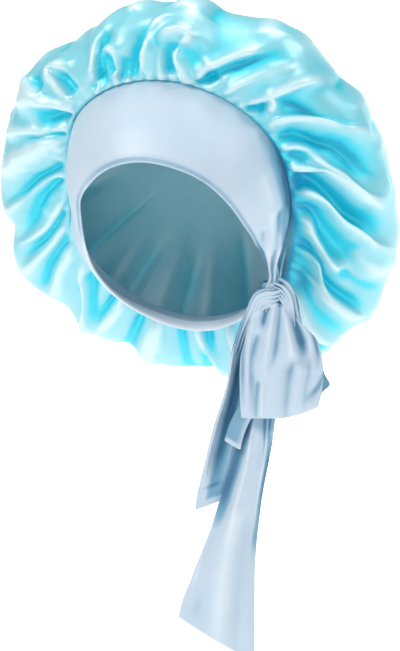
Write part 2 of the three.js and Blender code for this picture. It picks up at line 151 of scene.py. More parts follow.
SEAM = {
    "angle": [0, 20, 35, 52, 70, 85, 100, 117, 135, 180, 225, 258, 278, 300, 318, 339],
    "radius": [117, 114, 111, 107, 100, 95, 92, 95, 103, 111, 109, 105, 99, 104, 115, 118],
}
REACH = {
    "angle": [3, 11, 20, 28, 37, 45, 54, 70, 80, 92, 98, 107, 120, 131, 142, 156, 174, 192, 208]
    + [222, 231, 241, 250, 259, 266, 278, 291, 302, 309, 322, 334, 343, 355],
    "radius": [164, 166, 156, 161, 173, 167, 163, 168, 165, 169, 168, 175, 177, 184, 183, 188, 185]
    + [188, 185, 190, 183, 195, 193, 176, 180, 172, 168, 165, 168, 161, 156, 164, 161],
}
SWEEP = {
    "angle": [0, 12, 25, 45, 63, 75, 90, 110, 135, 180, 225, 255, 290, 305, 325, 345],
    "turn": [1, 7, 20, 25, 32, 35, 28, 24, 15, 0, -4, -13, -24, -19, -5, 1],
}
# The folds that show. Each gives its height in mm, negative for a valley, its half-width in mm, how far its
# crest leans over clockwise as a share of its height, and its path: clock angle, and run from the seam at 0
# to the widest line at 1.
CREASES = [
    (-12, 5, 0, (350, 0.02), (352, 0.2), (354, 0.38), (356, 0.52), (358, 0.7), (360, 0.85)),
    (7, 2.6, -0.5, (354, 0.06), (357, 0.3), (358, 0.5), (358.5, 0.6), (360, 0.7), (363, 0.78), (366, 0.9)),
    (-12, 5.5, 0, (366, 0.08), (366, 0.24), (367, 0.38), (368, 0.5)),
    (9, 2.4, -0.5, (371, 0), (372, 0.12), (370, 0.2), (368.5, 0.3), (369, 0.4), (371, 0.5)),
    (6, 2.4, 0, (369, 0.42), (371, 0.5), (371, 0.58), (367, 0.6), (363, 0.58), (360, 0.54)),
    (-4, 6, 0, (14, 0.06), (14, 0.2), (14, 0.4), (13, 0.6)),
    (-10, 3.6, 0, (16, 0.04), (19, 0.18), (22, 0.32)),
    (9, 3.4, 0.35, (13, 0), (16, 0.15), (18, 0.29), (22, 0.43), (26, 0.55), (30, 0.63))
    + ((34, 0.7), (38, 0.97)),
    (-7, 6.5, 0, (20, 0.08), (22, 0.28), (26, 0.42), (32, 0.56), (37, 0.73), (41, 1)),
    (4, 4, 0, (28, 0.05), (31, 0.22), (37, 0.4), (43, 0.7), (46, 1.1)),
    (9, 3.4, 0.35, (35, 0), (39, 0.17), (41, 0.28), (44, 0.44), (47, 0.64), (51, 0.85), (57, 1.15)),
    (-11, 4, 0, (38, 0.02), (40, 0.12), (44, 0.22)),
    (5, 2.4, -0.4, (42, 0.28), (45, 0.27), (46, 0.17)),
    (-6, 5, 0, (43, 0.3), (52, 0.43), (60, 0.51), (66, 0.61), (71, 0.77), (74, 1.04)),
    (10, 3.6, -0.4, (49, 0.04), (53, 0.26), (61, 0.49), (67, 0.61), (72, 0.81), (76, 1.1)),
    (-12, 5, 0, (54, 0.02), (58, 0.2), (66, 0.35), (70, 0.46), (77, 0.61), (83, 0.74), (89, 0.95)),
    (7, 2.4, 0, (60, 0.02), (62, 0.16), (66, 0.25), (71, 0.3), (75, 0.34)),
    (5, 2.2, -0.3, (75, 0.28), (74, 0.18), (72, 0.1), (67, 0.04)),
    (-4, 3.2, 0, (63, 0.06), (67, 0.15), (71, 0.21)),
    (7, 2.8, -0.3, (70, 0.29), (75, 0.33), (80, 0.43), (86, 0.49), (91, 0.63), (96, 0.95)),
    (11, 3.6, -0.6, (67, 0.02), (75, 0.21), (80, 0.33), (85, 0.41), (92, 0.53), (97, 0.74), (103, 1.05)),
    (-15, 7.5, 0, (71, 0), (75, 0.07), (81, 0.18), (88, 0.29), (94, 0.38), (99, 0.52))
    + ((103, 0.7), (108, 1)),
    (13, 3.6, -0.7, (81, 0), (84, 0.09), (89, 0.16), (95, 0.23), (100, 0.33), (104, 0.46))
    + ((108, 0.63), (112, 0.98)),
    (-10, 7, 0, (86, 0), (94, 0.1), (102, 0.2), (109, 0.32), (113, 0.47), (119, 0.6)),
    (11, 3.4, -0.4, (90, 0), (98, 0.08), (106, 0.12), (113, 0.2), (117, 0.3), (119, 0.42)),
    (6, 6, 0, (109, 0.4), (113, 0.58), (116, 0.75), (118, 1)),
    (-5, 4, 0, (117, 0.36), (120, 0.5), (122, 0.7), (124, 1)),
    (-13, 6, 0, (102, 0), (115, 0.11), (123, 0.19), (127, 0.31), (129, 0.45), (130, 0.64), (131, 0.85)),
    (12, 3.6, -0.6, (112, 0), (118, 0.12), (126, 0.19), (130, 0.28), (132.5, 0.44))
    + ((134, 0.66), (135, 0.95)),
    (-6, 5, 0, (122, 0.02), (132, 0.16), (137, 0.3), (140, 0.6), (142, 0.95)),
    (7, 5, 0, (132, 0.08), (138, 0.2), (144, 0.42), (148, 0.8), (150, 1.2)),
    (-12, 4.6, 0, (340, 0), (339, 0.19), (340, 0.38), (340.5, 0.52), (342, 0.62), (344, 0.74), (348, 0.95)),
    (5, 2.4, 0, (340.6, 0.14), (340.6, 0.34), (341.4, 0.46), (343.4, 0.49), (345.6, 0.44))
    + ((346, 0.32), (344.6, 0.16)),
    (-7, 2.8, 0, (343, 0.16), (343.4, 0.3), (343.6, 0.44)),
    (6, 3, 0.3, (334, 0.06), (336, 0.34), (338, 0.5), (340, 0.8)),
    (-7, 2.6, 0, (333, 0.08), (336, 0.24), (338, 0.33)),
    (-6, 3, 0, (346, 0.04), (348, 0.2), (350, 0.36)),
    (7.5, 2.6, 0.25, (323, 0.08), (321, 0.38), (320, 0.57), (320, 0.66), (322, 0.7), (325, 0.66))
    + ((327, 0.53), (328, 0.3)),
    (-11, 4.6, 0, (325, 0.2), (324.5, 0.4), (323.5, 0.6)),
    (7, 2.6, 0.4, (314, 0.42), (311, 0.6), (309, 0.78), (309, 0.9), (311, 0.95)),
    (-8, 3.8, 0, (315, 0.5), (312.5, 0.8)),
    (8, 4.2, -0.2, (321, 0.02), (316, 0.27), (311, 0.46), (305, 0.71), (301, 1.05)),
    (-11, 4.6, 0, (318, 0.02), (314, 0.16), (308, 0.28), (304, 0.4)),
    (6, 3.4, -0.2, (313, 0.02), (306, 0.21), (300, 0.42), (294, 0.67), (290, 1)),
    (-6, 2.4, 0, (309, 0.01), (304, 0.2), (300, 0.33), (293, 0.62)),
    (9, 6.5, 0, (306, 0.03), (301, 0.19), (294, 0.31), (286, 0.45), (280, 0.62), (276, 1)),
    (-11, 3.6, 0, (295, 0), (289, 0.1), (283, 0.26), (278, 0.36), (273, 0.47), (268, 0.72)),
    (6, 4, 0, (291, 0.02), (284, 0.15), (275, 0.34), (268, 0.5), (262, 0.8)),
    (-10, 4, 0, (286, 0), (281, 0.13), (273, 0.25), (264, 0.36), (257, 0.6)),
    (7, 3, -0.3, (278, 0), (271, 0.08), (264, 0.17), (259, 0.34), (254, 0.65)),
    (-8, 3.4, 0, (271, 0), (266, 0.08), (260, 0.19), (254, 0.36), (250, 0.6)),
    (6, 4, 0, (264, 0), (257, 0.12), (252, 0.26), (247, 0.5), (244, 0.9)),
    (-7, 3.4, 0, (260, 0), (252, 0.14), (247, 0.28), (242, 0.46), (239, 0.7)),
    (6, 3.6, 0, (252, 0.02), (246, 0.14), (241, 0.27), (237, 0.44), (234, 0.8)),
    (7, 2.4, 0.4, (243, 0), (235, 0.14), (229, 0.28), (224, 0.5), (221, 0.85)),
    (-8, 4, 0, (238, 0), (231, 0.16), (226, 0.32), (221, 0.55)),
]


def between(a, b, c, d, k):
    return b + 0.5 * k * (c - a + k * (2 * a - 5 * b + 4 * c - d + k * (3 * (b - c) + d - a)))


def by_clock(table, column, angle):
    angles = table["angle"]
    values = table[column]
    n = len(angles)
    at = angles[0] + (angle - angles[0]) % 360
    i = max(j for j in range(n) if angles[j] <= at)
    end = angles[i + 1] if i + 1 < n else angles[0] + 360
    near = [values[(i + step) % n] for step in (-1, 0, 1, 2)]
    return between(*near, (at - angles[i]) / (end - angles[i]))


def smooth_step(x, low, high):
    k = min(max((x - low) / (high - low), 0), 1)
    return k * k * (3 - 2 * k)


def around_opening(angle, radius, along):
    """A point round the opening's axis from a clock angle, a radius and a place along the axis, in mm."""
    a = math.radians(angle)
    c, s = math.cos(OPENING_RISE), math.sin(OPENING_RISE)
    up = radius * math.cos(a)
    offset = Vector((radius * math.sin(a), along * c - up * s, along * s + up * c))
    return OPENING_MIDDLE + offset * 0.001


def smooth_path(points):
    """A polyline through the points, smooth between them."""
    last = len(points) - 1
    path = []
    for i in range(last):
        near = [points[min(max(i + step, 0), last)] for step in (-1, 0, 1, 2)]
        for k in range(4):
            path.append([between(*(p[axis] for p in near), k / 4) for axis in (0, 1)])
    return path + [list(points[-1])]


def laid_folds(rows, across, along):
    """The rows' folds as paths in mm, each with the box that it can reach."""
    folds = []
    for height, width, lean, *points in rows:
        path = smooth_path([(x * across, y * along) for x, y in points])
        low = [min(p[axis] for p in path) - 4.5 * width for axis in (0, 1)]
        high = [max(p[axis] for p in path) + 4.5 * width for axis in (0, 1)]
        folds.append((height, width, lean, path, low, high))
    return folds


# A fold's profile is a narrow core on a wide soft skirt; the floor of a valley is rounder than a crest.
FOLD_CORE = 0.62
FOLD_SKIRT = 2.3
VALLEY_ROUND = 0.6
VALLEY_FLOOR = 0.775
VALLEY_STEEP = 1.6


def fold_push(folds, x, y):
    """What the folds do to the cloth at a place, in mm: how far it rises, and how far it leans over."""
    rise = lean_x = lean_y = 0
    for height, width, lean, path, low, high in folds:
        if x < low[0] or x > high[0] or y < low[1] or y > high[1]:
            continue
        nearest = 1e9
        for i in range(len(path) - 1):
            (ax, ay), (bx, by) = path[i], path[i + 1]
            dx, dy = bx - ax, by - ay
            long = math.hypot(dx, dy) + 1e-6
            k = min(max(((x - ax) * dx + (y - ay) * dy) / long**2, 0), 1)
            far = math.hypot(x - ax - k * dx, y - ay - k * dy)
            if far < nearest:
                nearest = far
                share = (i + k) / (len(path) - 1)
                side = (dy / long, -dx / long)
        wide = width * (0.75 + 0.6 * share)
        fade = smooth_step(share, -0.02, 0.2) * (1 - smooth_step(share, 0.66, 1.02))
        off = nearest / wide
        if height < 0:
            core = math.exp(-(math.sqrt(off * off + VALLEY_ROUND) - VALLEY_FLOOR) * VALLEY_STEEP)
        else:
            core = math.exp(-off * off)
        skirt = math.exp(-((off / FOLD_SKIRT) ** 2))
        shape = fade * (FOLD_CORE * core + (1 - FOLD_CORE) * skirt)
        rise += height * shape
        lean_x += side[0] * lean * abs(height) * shape
        lean_y += side[1] * lean * abs(height) * shape
    return rise, lean_x, lean_y


# The back and the hidden side have folds of the same kind, and small creases lie between the large folds.
random.seed(11)
HIDDEN = []
for step in range(11):
    at = 149 + 7.4 * step + random.uniform(-1.5, 1.5)
    turn = random.uniform(-3, 3)
    tall = random.uniform(7, 11) * (1 if step % 2 else -1)
    HIDDEN.append((tall, random.uniform(3.4, 5.5), 0, (at, 0), (at + turn, 0.4), (at + 2 * turn, 1.2)))
for step in range(40):
    at = 9 * step + random.uniform(-3, 3)
    turn = random.uniform(-4, 4)
    tall = random.uniform(4, 8) * (1 if step % 2 else -1)
    end = random.uniform(1.4, 1.75)
    HIDDEN.append((tall, random.uniform(4, 6), 0, (at, random.uniform(0.8, 1)), (at + turn, end)))
SMALL = []
for step in range(120):
    at = random.uniform(0, 360)
    start = random.uniform(0.02, 1.3)
    sweep = by_clock(SWEEP, "turn", at) * random.uniform(0.1, 0.35) + random.uniform(-3, 3)
    end = start + random.uniform(0.25, 0.6)
    tall = random.choice((-1, 1)) * random.uniform(0.5, 1.3)
    SMALL.append((tall, random.uniform(1.6, 3), 0, (at, start), (at + sweep, end)))
crown_folds = laid_folds(CREASES + HIDDEN + SMALL, AROUND, ALONG)
gather_tall = [random.uniform(1.4, 3.8) for _ in range(GATHERS)]
gather_run = [random.uniform(0.12, 0.44) for _ in range(GATHERS)]


def gather_height(seam_angle, run):
    """The small gathers on the seam, in mm: round ribs with a sharp crease between each two."""
    at = seam_angle / 360 * GATHERS
    i = int(at) % GATHERS
    rib = math.sin(math.pi * (at - int(at))) ** 0.75
    fade = smooth_step(run, 0, 0.03) * (1 - smooth_step(run, 0.25 * gather_run[i], gather_run[i]))
    full = 0.35 + 0.65 * smooth_step(abs((seam_angle - 170) % 360 - 180), 30, 65)
    return gather_tall[i] * rib * fade * (1.35 - full)


def crown_base(angle, run, height):
    """The puff's plain form, raised by a height in mm: out from the seam, then a dome at the back."""
    seam = by_clock(SEAM, "radius", angle) + 0.3
    reach = by_clock(REACH, "radius", angle)
    turn = math.pi / 2 * (run if run < 1 else run - 1)
    if run < 1:
        out = (reach - seam + height) * math.sin(turn)
        back = WIDEST_BEHIND * 1000 * (1 - math.cos(turn)) - height * math.cos(turn)
        return around_opening(angle, seam + out, back - 8 * math.sin(turn) * math.cos(turn))
    lobe = reach + (BACK_LOBE - reach) * smooth_step(run, 1, 1.7)
    depth = (PUFF_DEPTH - WIDEST_BEHIND) * 1000 + height * math.sin(turn)
    return around_opening(
        angle, (lobe + height) * math.cos(turn), WIDEST_BEHIND * 1000 + depth * math.sin(turn)
    )


def crown_point(seam_angle, run):
    """The crown's cloth, on the line that leaves the seam at a clock angle, at a run from seam to back."""
    angle = (seam_angle + by_clock(SWEEP, "turn", seam_angle) * min(run, 1) ** FOLD_SWEEP) % 360
    rise = lean_x = lean_y = 0
    for around in (angle - 360, angle, angle + 360):
        push = fold_push(crown_folds, around * AROUND, run * ALONG)
        rise, lean_x, lean_y = rise + push[0], lean_x + push[1], lean_y + push[2]
    keep = smooth_step(run, 0, 0.1) * (1 - smooth_step(run, 1.6, 1.95))
    rise = rise * keep * (1 - 0.5 * smooth_step(run, 0.6, 1)) + gather_height(seam_angle, run)
    leaned = max(run + keep * lean_y / ALONG, 0) if run > 0 else 0
    return crown_base(angle + keep * lean_x / AROUND, leaned, rise), rise


def cloth_grid(name, across, along, place, close=False, soften=2, turn_over=True):
    """A grid of cloth at place(u, v), which also tells how far a fold lifts it; its map holds u and v."""
    mesh = bpy.data.meshes.new(name)
    piece = bpy.data.objects.new(name, mesh)
    bpy.context.scene.collection.objects.link(piece)
    bm = bmesh.new()
    bmesh.ops.create_grid(bm, x_segments=across, y_segments=along, size=0.5, calc_uvs=True)
    uv = bm.loops.layers.uv.verify()
    for face in bm.faces:
        for loop in face.loops:
            loop[uv].uv = (loop.vert.co.x + 0.5, loop.vert.co.y + 0.5)
    # Painted shade and highlight: each point's colour darkens in a fold and pales on a crest, by how far
    # the fold lifts it.
    painted_shading = bm.verts.layers.float.new("painted_shading")
    for v in bm.verts:
        v.co, rise = place(v.co.x + 0.5, v.co.y + 0.5)
        v[painted_shading] = 0.5 + 0.04 * rise
    if close:
        bmesh.ops.remove_doubles(bm, verts=bm.verts, dist=1e-6)
    for _ in range(soften):
        bmesh.ops.smooth_vert(
            bm, verts=bm.verts, factor=0.5, use_axis_x=True, use_axis_y=True, use_axis_z=True
        )
    if turn_over:
        bmesh.ops.reverse_faces(bm, faces=bm.faces)
    for face in bm.faces:
        face.smooth = True
    bm.to_mesh(mesh)
    bm.free()
    return piece


def crown_run(v):
    """The run of a row of the grid, with the rows closer together at the seam."""
    return min(2 * v**1.3, 2)


def crown_at(u, v):
    return crown_point(360 * u, crown_run(v))


crown = cloth_grid("crown_satin", CROWN_ACROSS, CROWN_ROWS, crown_at, close=True, turn_over=False)


def flat_radius(runs):
    """Where each of the crown's rows lies on the flat disc, from its middle."""
    rows = [crown_base(180, run, 0) for run in runs]
    long = [0]
    for i in range(len(rows) - 1):
        long.append(long[-1] + (rows[i + 1] - rows[i]).length)
    return [DISC_RADIUS * (1 - part / long[-1]) for part in long]


# The cloth eases at ten times its size, where the solver is steady.
SIM_SCALE = 10


def settle(piece, uv_to_flat, goal, frames, stretch):
    """The cloth eases under its own tension and a little air, held near the shape it was laid in."""
    mesh = piece.data
    flat = [None] * len(mesh.vertices)
    for loop in mesh.loops:
        flat[loop.vertex_index] = uv_to_flat(*mesh.uv_layers[0].data[loop.index].uv)
    hold = piece.vertex_groups.new(name="hold")
    for v in mesh.vertices:
        hold.add([v.index], goal(v), "REPLACE")
        v.co *= SIM_SCALE
    piece.shape_key_add(name="worn")
    cut = piece.shape_key_add(name="cut")
    for v in mesh.vertices:
        cut.data[v.index].co = Vector(flat[v.index]) * SIM_SCALE
    cloth = piece.modifiers.new("cloth", "CLOTH")
    cloth.settings.quality = 6
    cloth.settings.mass = 0.3
    cloth.settings.rest_shape_key = cut
    cloth.settings.vertex_group_mass = "hold"
    cloth.settings.pin_stiffness = 1
    cloth.settings.tension_stiffness = stretch
    cloth.settings.compression_stiffness = stretch
    cloth.settings.shear_stiffness = 5
    cloth.settings.bending_stiffness = 0.01
    cloth.settings.tension_damping = 5
    cloth.settings.compression_damping = 5
    cloth.settings.shear_damping = 5
    cloth.settings.air_damping = 2
    cloth.settings.use_pressure = True
    cloth.settings.uniform_pressure_force = 3
    cloth.settings.effector_weights.gravity = 0.2
    cloth.collision_settings.use_collision = False
    cloth.point_cache.frame_end = frames
    for frame_at in range(1, frames + 1):
        bpy.context.scene.frame_set(frame_at)
    eased = piece.evaluated_get(bpy.context.evaluated_depsgraph_get()).to_mesh()
    places = [v.co / SIM_SCALE for v in eased.vertices]
    piece.modifiers.remove(cloth)
    piece.shape_key_clear()
    for v, place in zip(mesh.vertices, places):
        v.co = place
    piece.vertex_groups.clear()
    bpy.context.scene.frame_set(1)


def paint_shading(piece, rounds, scale, shade):
    """Paints shade and highlight on each point, 0 deep in a fold to 1 on its crest, from its fold and its
    neighbours.

    A neighbourhood is as wide as so many rounds of smoothing, and shade(u, v) takes its share away as
    painted shade.
    """
    mesh = piece.data
    bm = bmesh.new()
    bm.from_mesh(mesh)
    for _ in range(rounds):
        bmesh.ops.smooth_vert(
            bm, verts=bm.verts, factor=0.5, use_axis_x=True, use_axis_y=True, use_axis_z=True
        )
    bm.verts.ensure_lookup_table()
    places = {loop.vertex_index: mesh.uv_layers[0].data[loop.index].uv for loop in mesh.loops}
    marks = mesh.attributes["painted_shading"].data
    for v in mesh.vertices:
        over = (v.co - bm.verts[v.index].co).dot(v.normal)
        level = min(max(marks[v.index].value + over / scale, 0.2), 1) - shade(*places[v.index])
        marks[v.index].value = max(level, 0)
    bm.free()


disc_rows = flat_radius([crown_run(i / CROWN_ROWS) for i in range(CROWN_ROWS + 1)])


def crown_flat(u, v):
    """The place of a point of the crown on its flat disc."""
    radius = disc_rows[min(round(v * CROWN_ROWS), CROWN_ROWS)]
    return (radius * math.sin(2 * math.pi * u), 0, radius * math.cos(2 * math.pi * u))


held = set()
for loop in crown.data.loops:
    if crown.data.uv_layers[0].data[loop.index].uv[1] < 0.012:
        held.add(loop.vertex_index)
settle(crown, crown_flat, goal=lambda v: 1 if v.index in held else 0.35, frames=24, stretch=15)


def crown_shade(u, v):
    """Painted shade on the satin: deep where it tucks under the band, more so at the left, and dim at the
    top left.
    """
    side = smooth_step(u, 0.08, 0.2) * (1 - smooth_step(u, 0.38, 0.46))
    tucked = (0.24 + 0.26 * side) * (1 - smooth_step(v, 0.01, 0.05 + 0.04 * side))
    beside = 0.13 * side * (1 - smooth_step(v, 0.05, 0.24))
    turned = smooth_step(u, 0.02, 0.07) * (1 - smooth_step(u, 0.14, 0.2))
    dimmed = 0.12 * turned * smooth_step(v, 0.15, 0.3) * (1 - smooth_step(v, 0.6, 0.7))
    return tucked + beside + dimmed


paint_shading(crown, rounds=26, scale=0.0075, shade=crown_shade)


def feed(tree, value, socket):
    """Sets a socket to a number, or links another node's output to it."""
    if isinstance(value, (int, float)):
        socket.default_value = value
    else:
        tree.links.new(value, socket)


def math_node(tree, operation, *values):
    node = tree.nodes.new("ShaderNodeMath")
    node.operation = operation
    for i, value in enumerate(values):
        feed(tree, value, node.inputs[i])
    return node.outputs[0]


def range_node(tree, value, low, high, to_low=0, to_high=1, kind="SMOOTHSTEP"):
    node = tree.nodes.new("ShaderNodeMapRange")
    node.interpolation_type = kind
    for socket, number in (("From Min", low), ("From Max", high), ("To Min", to_low), ("To Max", to_high)):
        node.inputs[socket].default_value = number
    feed(tree, value, node.inputs["Value"])
    return node.outputs["Result"]


def mix_node(tree, factor, first, second):
    node = tree.nodes.new("ShaderNodeMix")
    node.data_type = "RGBA"
    tree.links.new(factor, node.inputs["Factor"])
    tree.links.new(first, node.inputs["A"])
    tree.links.new(second, node.inputs["B"])
    return node.outputs["Result"]


def noise_node(tree, place, scale, detail, distortion=0):
    node = tree.nodes.new("ShaderNodeTexNoise")
    node.inputs["Detail"].default_value = detail
    node.inputs["Distortion"].default_value = distortion
    tree.links.new(place, node.inputs["Vector"])
    feed(tree, scale, node.inputs["Scale"])
    return node.outputs["Fac"]


def cloth_look_group():
    """A shared look of cloth: painted shade and highlight by how deep a point lies in the folds, mottling,
    gloss and weave.
    """
    group = bpy.data.node_groups.new("cloth_look", "ShaderNodeTree")
    face = group.interface
    for name in ("Shadow", "Fold Shade", "Mid", "Light"):
        face.new_socket(name=name, in_out="INPUT", socket_type="NodeSocketColor")
    for name, value in (("Threads", 1400), ("Weave Depth", 0.5), ("Slub", 0.4)):
        face.new_socket(name=name, in_out="INPUT", socket_type="NodeSocketFloat").default_value = value
    face.new_socket(name="Color", in_out="OUTPUT", socket_type="NodeSocketColor")
    for name in ("Height", "Rough", "Hollow"):
        face.new_socket(name=name, in_out="OUTPUT", socket_type="NodeSocketFloat")
    inputs = group.nodes.new("NodeGroupInput").outputs
    outputs = group.nodes.new("NodeGroupOutput").inputs
    place = group.nodes.new("ShaderNodeTexCoord").outputs["Object"]
    painted_shading = group.nodes.new("ShaderNodeAttribute")
    painted_shading.attribute_name = "painted_shading"
    mottle = range_node(group, noise_node(group, place, 26, 4), 0, 1, -0.12, 0.12, "LINEAR")
    depth = math_node(group, "ADD", painted_shading.outputs["Fac"], mottle)
    # Painted shadow, painted fold shade, the cloth's own colour, and a painted highlight on the crests.
    low = range_node(group, depth, 0.18, 0.5)
    under = mix_node(group, range_node(group, depth, 0, 0.22), inputs["Shadow"], inputs["Fold Shade"])
    middle = mix_node(group, low, under, inputs["Mid"])
    crest = mix_node(group, range_node(group, depth, 0.5, 0.88), middle, inputs["Light"])
    group.links.new(crest, outputs["Color"])
    threads = noise_node(group, place, inputs["Threads"], 2)
    slub = noise_node(group, place, 90, 3, 0.6)
    fine = math_node(group, "MULTIPLY", threads, inputs["Weave Depth"])
    coarse = math_node(group, "MULTIPLY", slub, inputs["Slub"])
    group.links.new(math_node(group, "ADD", fine, coarse), outputs["Height"])
    hollow = math_node(group, "SUBTRACT", 1, low)
    group.links.new(hollow, outputs["Hollow"])
    rough = range_node(group, threads, 0, 1, -0.05, 0.05, "LINEAR")
    group.links.new(math_node(group, "MULTIPLY_ADD", hollow, 0.22, rough), outputs["Rough"])
    return group


cloth_look = cloth_look_group()


def cloth_paint(name, colours, roughness, threads, weave, slub, bump):
    """A cloth material, its four colours from painted shadow in deep folds to a painted highlight on
    crests, and its hollow mask.
    """
    paint = bpy.data.materials.new(name)
    paint.use_nodes = True
    tree = paint.node_tree
    shader = tree.nodes["Principled BSDF"]
    look = tree.nodes.new("ShaderNodeGroup")
    look.node_tree = cloth_look
    for socket, colour in zip(("Shadow", "Fold Shade", "Mid", "Light"), colours):
        look.inputs[socket].default_value = (*colour, 1)
    for socket, value in (("Threads", threads), ("Weave Depth", weave), ("Slub", slub)):
        look.inputs[socket].default_value = value
    tree.links.new(look.outputs["Color"], shader.inputs["Base Color"])
    tree.links.new(math_node(tree, "ADD", look.outputs["Rough"], roughness), shader.inputs["Roughness"])
    raised = tree.nodes.new("ShaderNodeBump")
    raised.inputs["Strength"].default_value = 1
    raised.inputs["Distance"].default_value = bump
    tree.links.new(look.outputs["Height"], raised.inputs["Height"])
    tree.links.new(raised.outputs["Normal"], shader.inputs["Normal"])
    return paint, shader, look.outputs["Hollow"]


# The satin's colours: painted shadow, painted fold shade, its own aqua, and a painted crest highlight.
satin, shader, hollow = cloth_paint(
    "aqua_satin",
    colours=((0.0, 0.41, 0.66), (0.0, 0.74, 0.89), (0.23, 0.74, 0.85), (0.64, 0.92, 0.97)),
    roughness=0.34,
    threads=1500,
    weave=0.3,
    slub=0.5,
    bump=0.0005,
)
shader.inputs["IOR"].default_value = 1.8
shader.inputs["Specular IOR Level"].default_value = 1.0
shader.inputs["Coat Roughness"].default_value = 0.5
# The deep folds and the other painted shade lose the glossy coat, and their gloss takes on the satin's own
# colour.
coat = math_node(satin.node_tree, "MULTIPLY_ADD", hollow, -0.35, 0.35)
satin.node_tree.links.new(coat, shader.inputs["Coat Weight"])
tint = math_node(satin.node_tree, "MULTIPLY", hollow, 0.45)
satin.node_tree.links.new(tint, shader.inputs["Metallic"])
crown.data.materials.append(satin)
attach(crown, "root")
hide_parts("crown")

# The band is one wide strip of pale knit jersey, doubled over at its hem and sewn to the gathered seam.
# It narrows round the nape, and its two ends draw together at the left into the knot.
BAND = {
    "angle": [-224, -200, -180, -160, -140, -120, -105, -90, -75, -60, -40, -20]
    + [0, 20, 40, 60, 80, 100, 114],
    "crest_radius": [99, 106, 107, 106, 105, 102, 98, 92, 92, 97, 105, 109]
    + [109, 106, 101, 96, 90, 87, 90],
    "crest_along": [-8, -8, -8, -8, -10, -14, -19, -22, -25, -27, -30, -32]
    + [-32, -32, -30, -26, -22, -17, -17],
    "hem_radius": [97, 107, 110, 107, 101, 90, 80, 74, 73, 76, 78, 82]
    + [84, 82, 78, 74.5, 73, 76, 81],
    "hem_along": [-20, -19, -19, -20, -24, -33, -42, -49, -53, -57, -66, -70]
    + [-71, -69, -63, -58, -51, -40, -29],
}
# The two ends: a clock angle that runs on from the band's, the height, and where the seam side and the hem
# side lie, across and out.
TWIST_END = [
    (117, -33, 89, 0, 75.5, 7),
    (123, -43, 87, 6, 77, 12),
    (128, -52, 85.5, 12, 74, 15),
    (134, -63, 85, 13, 73, 14),
]
NAPE_END = [
    (-246, -63, 87, 6.2, 71, 6.2),
    (-239, -55, 85, 4.5, 74, 5),
    (-234, -50, 83, -6, 74, -2.5),
    (-229, -48, 80, -20, 71.5, -10.5),
]
BAND_FROM = -246
BAND_UNTIL = 134
HANG_TURN = math.radians(20)
# The hem rolls inward from this share of the band's grid on, and is turned over after a further share.
HEM_LINE = 0.88
HEM_TURN = 0.06
HEM_ROLL = 1.5
HEM_BACK = 0.009
FOLD_ACROSS = 1.7
FOLD_DEEP = 62
JERSEY_THICK = 0.0008
# The band's soft folds: height, half-width, lean, then points as clock angle and share from the seam.
BAND_FOLDS = [
    (2, 5, 0, (80, 0.62), (94, 0.66), (106, 0.68), (116, 0.66)),
    (-2.6, 4, 0, (84, 0.42), (96, 0.46), (107, 0.48), (116, 0.5)),
    (2, 4, 0, (86, 0.22), (100, 0.28), (110, 0.3), (116, 0.32)),
    (-2.2, 4, 0, (90, 0.82), (100, 0.86), (110, 0.86), (118, 0.84)),
    (1.2, 6, 0, (60, 0.5), (76, 0.55), (92, 0.5)),
    (-1, 7, 0, (-70, 0.5), (-84, 0.45), (-100, 0.5)),
    (1, 5, 0, (-92, 0.3), (-110, 0.35), (-125, 0.4)),
]


def hanging(across, out, up):
    """A point by the plane that the knot and the ties hang in, turned to the left; mm in, metres out."""
    c, s = math.cos(HANG_TURN), math.sin(HANG_TURN)
    return Vector((across * c + out * s, across * s - out * c, up)) * 0.001


def band_rows():
    """The band's lines across, each a clock angle and its points at the seam, the crest and the hem."""
    rows = []
    for angle, up, seam_across, seam_out, hem_across, hem_out in NAPE_END:
        seam, hem = hanging(seam_across, seam_out, up), hanging(hem_across, hem_out, up)
        rows.append((angle, seam, (seam + hem) / 2, hem))
    for angle in range(-224, 112, 5):
        i = max(j for j in range(len(BAND["angle"]) - 1) if BAND["angle"][j] <= angle)
        k = (angle - BAND["angle"][i]) / (BAND["angle"][i + 1] - BAND["angle"][i])
        row = {}
        for column in BAND:
            near = [BAND[column][min(max(i + step, 0), len(BAND["angle"]) - 1)] for step in (-1, 0, 1, 2)]
            row[column] = between(*near, k)
        leave = smooth_step(angle, 95, 111)
        seam = around_opening(angle, by_clock(SEAM, "radius", angle) - 2 * leave, 4 - 12 * leave)
        crest = around_opening(angle, row["crest_radius"], row["crest_along"])
        rows.append((angle, seam, crest, around_opening(angle, row["hem_radius"], row["hem_along"])))
    for angle, up, seam_across, seam_out, hem_across, hem_out in TWIST_END:
        seam, hem = hanging(seam_across, seam_out, up), hanging(hem_across, hem_out, up)
        rows.append((angle, seam, (seam + hem) / 2 + hanging(0, 2, 0), hem))
    return rows


band_lines = band_rows()
band_folds = laid_folds(BAND_FOLDS, FOLD_ACROSS, FOLD_DEEP)


def band_face(angle, share):
    """The band's plain face, on a curve through each line's three points."""
    i = 0
    while i < len(band_lines) - 2 and band_lines[i + 1][0] < angle:
        i += 1
    k = (angle - band_lines[i][0]) / (band_lines[i + 1][0] - band_lines[i][0])
    near = [band_lines[min(max(i + step, 0), len(band_lines) - 1)] for step in (-1, 0, 1, 2)]
    seam, crest, hem = (between(*(row[part] for row in near), k) for part in (1, 2, 3))
    rest = 1 - share
    return seam * rest * (1 - 2 * share) + crest * 4 * share * rest + hem * share * (2 * share - 1)


def band_angle(u):
    return BAND_FROM + (BAND_UNTIL - BAND_FROM) * u


